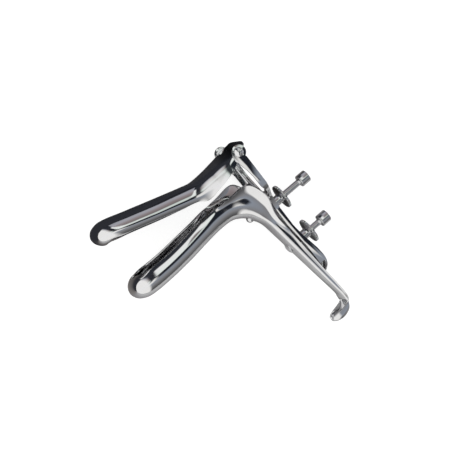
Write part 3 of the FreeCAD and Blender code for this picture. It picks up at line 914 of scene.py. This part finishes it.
@dataclass
class Studio:
    """Camera, floor and light.

    Attributes:
        aim: Place that the picture's centre shows.
        towards: Direction from the object to the camera.
        up: Direction that is up in the picture.
        distance: Distance of the camera.
        lens: Focal length in millimetres.
        floor_half: Half width of the floor.
        floor_drop: Distance of the floor under the object.
        paper: Grey of the floor's paper, as the camera sees it.
        paper_glow: Glow that brings the paper to white for the camera.
        lamp_power: Power of the soft lamp in watts.
        lamp_size: Width of the soft lamp.
        lamp_spot: Place of the soft lamp.
    """

    aim: Vector = field(default_factory=lambda: Vector((-0.0052, -0.0258, 0.0255)))
    towards: Vector = field(default_factory=lambda: Vector((0.185, -0.195, 0.9632)))
    up: Vector = field(default_factory=lambda: Vector((-0.628, -0.778, 0.0)))
    distance: float = 0.80
    lens: float = 88.5
    floor_half: float = 4.0
    floor_drop: float = 0.0004
    paper: float = 0.42
    paper_glow: float = 0.80
    lamp_power: float = 7.0
    lamp_size: float = 1.4
    lamp_spot: Vector = field(default_factory=lambda: Vector((-0.25, -0.3, 1.1)))

    def camera(self) -> None:
        """Place the camera."""
        data = bpy.data.cameras.new("camera")
        data.lens = self.lens
        data.sensor_width = 36.0
        data.clip_start = 0.01
        camera = bpy.data.objects.new("camera", data)
        back = self.towards.normalized()
        top = (self.up - back * self.up.dot(back)).normalized()
        right = top.cross(back)
        turn = Matrix((right, top, back)).transposed().to_4x4()
        camera.matrix_world = Matrix.Translation(self.aim + back * self.distance) @ turn
        bpy.context.scene.collection.objects.link(camera)
        bpy.context.scene.camera = camera

    def floor(self) -> None:
        """Lay the pale floor, white to the camera and with the object's shadow.

        Reflections see a toned paper instead, which paints dark and grey reflections into the steel.
        """
        shape = bmesh.new()
        bmesh.ops.create_grid(shape, x_segments=1, y_segments=1, size=self.floor_half)
        bmesh.ops.translate(shape, verts=shape.verts[:], vec=Vector((0.0, 0.0, -self.floor_drop)))
        mesh = bpy.data.meshes.new("floor")
        shape.to_mesh(mesh)
        shape.free()
        material = bpy.data.materials.new("floor_paper")
        material.use_nodes = True
        nodes = material.node_tree.nodes
        links = material.node_tree.links
        paper = nodes["Principled BSDF"]
        paper.inputs["Roughness"].default_value = 0.9
        paper.inputs["Specular IOR Level"].default_value = 0.0
        place = nodes.new("ShaderNodeTexCoord")
        axes = nodes.new("ShaderNodeSeparateXYZ")
        links.new(place.outputs["Object"], axes.inputs["Vector"])
        # Painted reflection: dark and grey tones that only reflection rays see on the paper, for the
        # steel to mirror
        reflection_beside = self.ramp(nodes, links, axes.outputs["Y"], PAINTED_FLOOR_REFLECTION_DOWN)
        reflection_behind = self.ramp(nodes, links, axes.outputs["X"], PAINTED_FLOOR_REFLECTION_AHEAD)
        painted_reflection = self.blend(nodes, links, "MULTIPLY", reflection_beside, reflection_behind)
        seen = nodes.new("ShaderNodeMixRGB")
        seen.inputs["Color2"].default_value = (self.paper, self.paper, self.paper, 1.0)
        links.new(painted_reflection, seen.inputs["Color1"])
        links.new(seen.outputs["Color"], paper.inputs["Base Color"])
        glow = nodes.new("ShaderNodeEmission")
        glow.inputs["Strength"].default_value = self.paper_glow
        ray = nodes.new("ShaderNodeLightPath")
        links.new(ray.outputs["Is Camera Ray"], seen.inputs["Fac"])
        dark = nodes.new("ShaderNodeBsdfTransparent")
        dark.inputs["Color"].default_value = (0.0, 0.0, 0.0, 1.0)
        mix = nodes.new("ShaderNodeMixShader")
        both = nodes.new("ShaderNodeAddShader")
        links.new(ray.outputs["Is Camera Ray"], mix.inputs["Fac"])
        links.new(dark.outputs["BSDF"], mix.inputs[1])
        links.new(glow.outputs["Emission"], mix.inputs[2])
        links.new(paper.outputs["BSDF"], both.inputs[0])
        links.new(mix.outputs["Shader"], both.inputs[1])
        links.new(both.outputs["Shader"], nodes["Material Output"].inputs["Surface"])
        mesh.materials.append(material)
        floor = bpy.data.objects.new("floor", mesh)
        bpy.context.scene.collection.objects.link(floor)

    def world(self) -> None:
        """Set the studio's surroundings: soft panels, dark gaps and a white backdrop."""
        world = bpy.data.worlds.new("studio")
        bpy.context.scene.world = world
        world.use_nodes = True
        nodes = world.node_tree.nodes
        links = world.node_tree.links
        place = nodes.new("ShaderNodeTexCoord")
        axes = nodes.new("ShaderNodeSeparateXYZ")
        links.new(place.outputs["Generated"], axes.inputs["Vector"])
        lengthwise = self.ramp(nodes, links, axes.outputs["Y"], DOWN_PANELS)
        ahead = self.ramp(nodes, links, axes.outputs["X"], AHEAD_PANEL)
        wide = self.ramp(nodes, links, axes.outputs["X"], WINDOW_WIDE)
        tall = self.ramp(nodes, links, axes.outputs["Y"], WINDOW_TALL)
        window = self.blend(nodes, links, "MULTIPLY", wide, tall)
        back = self.ramp(nodes, links, axes.outputs["Y"], BACK_PANELS)
        gate = self.ramp(nodes, links, axes.outputs["X"], BACK_GATE)
        gated = self.blend(nodes, links, "MULTIPLY", back, gate)
        near = self.ramp(nodes, links, axes.outputs["X"], FLANK_WIDE)
        beyond = self.ramp(nodes, links, axes.outputs["Y"], FLANK_TALL)
        flank = self.blend(nodes, links, "MULTIPLY", near, beyond)
        whole = lengthwise
        for panel in (gated, window, ahead, flank):
            whole = self.blend(nodes, links, "SCREEN", whole, panel)
        panels = nodes["Background"]
        links.new(whole, panels.inputs["Color"])
        panels.inputs["Strength"].default_value = 1.0
        backdrop = nodes.new("ShaderNodeBackground")
        backdrop.inputs["Strength"].default_value = 1.0
        backdrop.inputs["Color"].default_value = (1.0, 1.0, 1.0, 1.0)
        ray = nodes.new("ShaderNodeLightPath")
        pick = nodes.new("ShaderNodeMixShader")
        links.new(ray.outputs["Is Camera Ray"], pick.inputs["Fac"])
        links.new(panels.outputs["Background"], pick.inputs[1])
        links.new(backdrop.outputs["Background"], pick.inputs[2])
        links.new(pick.outputs["Shader"], nodes["World Output"].inputs["Surface"])

    @staticmethod
    def blend(
        nodes: bpy.types.Nodes,
        links: bpy.types.NodeLinks,
        way: str,
        first: bpy.types.NodeSocket,
        second: bpy.types.NodeSocket,
    ) -> bpy.types.NodeSocket:
        """Blend two colours of the world or the floor.

        Args:
            nodes: Nodes of the tree.
            links: Links of the tree.
            way: Blend type.
            first: Socket of the first colour.
            second: Socket of the second colour.

        Returns:
            Socket of the blended colour.
        """
        mix = nodes.new("ShaderNodeMixRGB")
        mix.blend_type = way
        mix.inputs["Fac"].default_value = 1.0
        links.new(first, mix.inputs["Color1"])
        links.new(second, mix.inputs["Color2"])
        return mix.outputs["Color"]

    @staticmethod
    def ramp(
        nodes: bpy.types.Nodes,
        links: bpy.types.NodeLinks,
        source: bpy.types.NodeSocket,
        stops: Stops,
    ) -> bpy.types.NodeSocket:
        """Turn one axis of a direction or a place into a colour.

        Args:
            nodes: Nodes of the tree.
            links: Links of the tree.
            source: Socket of the axis, from -1 to 1.
            stops: Pairs of place on the axis and colour.

        Returns:
            Socket of the colour.
        """
        spread = nodes.new("ShaderNodeMapRange")
        spread.inputs["From Min"].default_value = -1.0
        links.new(source, spread.inputs["Value"])
        ramp = nodes.new("ShaderNodeValToRGB")
        elements = ramp.color_ramp.elements
        while len(elements) < len(stops):
            elements.new(0.5)
        for element, (place, colour) in zip(elements, stops):
            element.position = (place + 1) / 2
            element.color = (*colour, 1.0)
        links.new(spread.outputs["Result"], ramp.inputs["Fac"])
        return ramp.outputs["Color"]

    def lamps(self) -> None:
        """Hang one large soft lamp that gives the floor its light and shadow."""
        data = bpy.data.lights.new("soft_top", "AREA")
        data.energy = self.lamp_power
        data.size = self.lamp_size
        lamp = bpy.data.objects.new("soft_top", data)
        lamp.location = self.lamp_spot
        lamp.rotation_euler = (-self.lamp_spot).to_track_quat("-Z", "Y").to_euler()
        lamp.visible_glossy = False
        bpy.context.scene.collection.objects.link(lamp)

    def build(self) -> None:
        """Set the whole stage."""
        self.camera()
        self.floor()
        self.world()
        self.lamps()
        bpy.context.scene.view_settings.view_transform = "Standard"


@dataclass
class Speculum:
    """The whole instrument.

    Attributes:
        lock_down: Place of the lock stud down the handle.
        angle_down: Place of the angle stud down the handle.
        angle_side: Place of the angle stud across the handle.
        yoke_rear: Rear face of the yoke's plate.
        lever_rear: Rear face of the thumb lever.
        washer: Thickness of a washer.
        nut_length: Length of a thumb nut.
        lock_free: Free length of the lock stud behind its nut.
        angle_free: Free length of the angle stud behind its nut.
        stop_length: Length of an end stop.
        stop_radius: Radius of an end stop.
        stop_chamfer: Chamfer of an end stop.
        pin_down: Place of the guide pin down the handle.
        lock_radii: Bore, front radius and rear radius of the lock stud's washer.
        angle_radii: The same radii of the angle stud's washer.
        pin_radii: The same radii of the guide pin's washer.
        ring_rounding: Width of the rounding of a washer's corners.
    """

    lock_down: float = 82.2
    angle_down: float = 51.3
    angle_side: float = -9.0
    yoke_rear: float = -2.7
    lever_rear: float = -4.2
    washer: float = 1.1
    nut_length: float = 10.1
    lock_free: float = 8.2
    angle_free: float = 15.1
    stop_length: float = 7.9
    stop_radius: float = 4.8
    stop_chamfer: float = 0.4
    pin_down: float = 46.7
    lock_radii: tuple[float, float, float] = (STUD_BORE, 5.0, 5.2)
    angle_radii: tuple[float, float, float] = (STUD_BORE, 3.6, 5.2)
    pin_radii: tuple[float, float, float] = (PIN_BORE, 3.9, 4.0)
    ring_rounding: float = 0.12

    def sheets(self) -> None:
        """Build the two pressed blades."""
        lower = Piece("lower_sheet", "lower_blade", Body.HANDLE, Slot.SHEET, MIRROR)
        LowerBlade(lower, outward=1.0).build()
        upper = Piece("upper_sheet", "upper_blade", Body.TOP, Slot.SHEET, MIRROR)
        UpperBlade(upper, outward=-1.0).build()

    def plates(self, nodes: dict[str, bpy.types.Object]) -> None:
        """Build the parts that keep their solid's form.

        Args:
            nodes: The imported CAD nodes.
        """
        PlatePart(Piece("slide_yoke", "yoke", Body.SLIDE, Slot.SHEET, MIRROR)).build(nodes)
        PlatePart(Piece("lever_strip", "thumb_lever", Body.TOP, Slot.STRIP, SATIN)).build(nodes)
        for name, node, body, rounding in (
            ("hinge_heads", "hinge_screws", Body.SLIDE, 0.12),
            ("lock_bar", "lock_stud", Body.HANDLE, 0.15),
            ("guide_ball", "guide_pin", Body.HANDLE, 0.15),
            ("strip_rivets", "lever_rivets", Body.TOP, 0.1),
            ("angle_bar", "angle_stud", Body.SLIDE, 0.15),
        ):
            PlatePart(Piece(name, node, body, Slot.BAR, TURNED), rounding).build(nodes)

    def ring(
        self,
        piece: Piece,
        front: float,
        down: float,
        side: float,
        radii: tuple[float, float, float],
    ) -> None:
        """Build one washer.

        Args:
            piece: What the washer stands for.
            front: Place of its front face.
            down: Place of its axis down the handle.
            side: Place of its axis across the handle.
            radii: Its bore, its front radius and its rear radius.
        """
        bore, small, large = radii
        rear = front - self.washer
        profile = [(front, bore), (front, small), (rear, large), (rear, bore), (front, bore)]
        TurnedPart(piece, down, side, profile, rounding=self.ring_rounding).build()

    def cap(self, piece: Piece, front: float, down: float, side: float) -> None:
        """Build one end stop.

        Args:
            piece: What the stop stands for.
            front: Place of its front face.
            down: Place of its axis down the handle.
            side: Place of its axis across the handle.
        """
        profile = chamfered(front, front - self.stop_length, self.stop_radius, self.stop_chamfer)
        TurnedPart(piece, down, side, profile).build()

    def hardware(self) -> None:
        """Build the washers, nuts and end stops."""
        lock_finish = turned_about("turned_lock_steel", self.lock_down, 0.0)
        angle_finish = turned_about("turned_angle_steel", self.angle_down, self.angle_side)
        for finish in (lock_finish, angle_finish):
            MATERIALS[finish.name] = finish.build()
        lock_seat = self.yoke_rear - SEAT_GAP
        angle_seat = self.lever_rear - SEAT_GAP
        lock_ring = Piece("lock_ring_washer", "lock_washer", Body.LOCK_RING, Slot.BAR, lock_finish)
        self.ring(lock_ring, lock_seat, self.lock_down, 0.0, self.lock_radii)
        angle_ring = Piece("angle_ring_washer", "angle_washer", Body.ANGLE_RING, Slot.BAR, angle_finish)
        self.ring(angle_ring, angle_seat, self.angle_down, self.angle_side, self.angle_radii)
        guide_ring = Piece("guide_ring_washer", "guide_washer", Body.HANDLE, Slot.BAR, TURNED)
        self.ring(guide_ring, lock_seat, self.pin_down, 0.0, self.pin_radii)
        lock_front = lock_seat - self.washer - NUT_GAP
        angle_front = angle_seat - self.washer - NUT_GAP
        lock_nut = Piece("lock_thumb_nut", "lock_nut", Body.LOCK_KNOB, Slot.KNURL, lock_finish)
        ThumbNut(lock_nut, self.lock_down, 0.0, front=lock_front).build()
        angle_nut = Piece("angle_thumb_nut", "angle_nut", Body.ANGLE_KNOB, Slot.KNURL, angle_finish)
        ThumbNut(angle_nut, self.angle_down, self.angle_side, front=angle_front).build()
        lock_stop = Piece("lock_end_stop", "lock_stop", Body.HANDLE, Slot.BAR, lock_finish)
        lock_end = lock_front - NUT_GAP - self.nut_length - self.lock_free
        self.cap(lock_stop, lock_end, self.lock_down, 0.0)
        angle_stop = Piece("angle_end_stop", "angle_stop", Body.SLIDE, Slot.BAR, angle_finish)
        angle_end = angle_front - NUT_GAP - self.nut_length - self.angle_free
        self.cap(angle_stop, angle_end, self.angle_down, self.angle_side)

    def build(self, nodes: dict[str, bpy.types.Object]) -> None:
        """Build the instrument.

        Args:
            nodes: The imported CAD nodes.
        """
        self.sheets()
        self.plates(nodes)
        self.hardware()


def main() -> None:
    """Load the frame, dress it and set the stage."""
    logging.basicConfig(level=logging.INFO)
    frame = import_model()
    for finish in (MIRROR, TURNED, SATIN):
        MATERIALS[finish.name] = finish.build()
    Speculum().build(frame["nodes"])
    Studio().build()


if __name__ == "__main__":
    main()
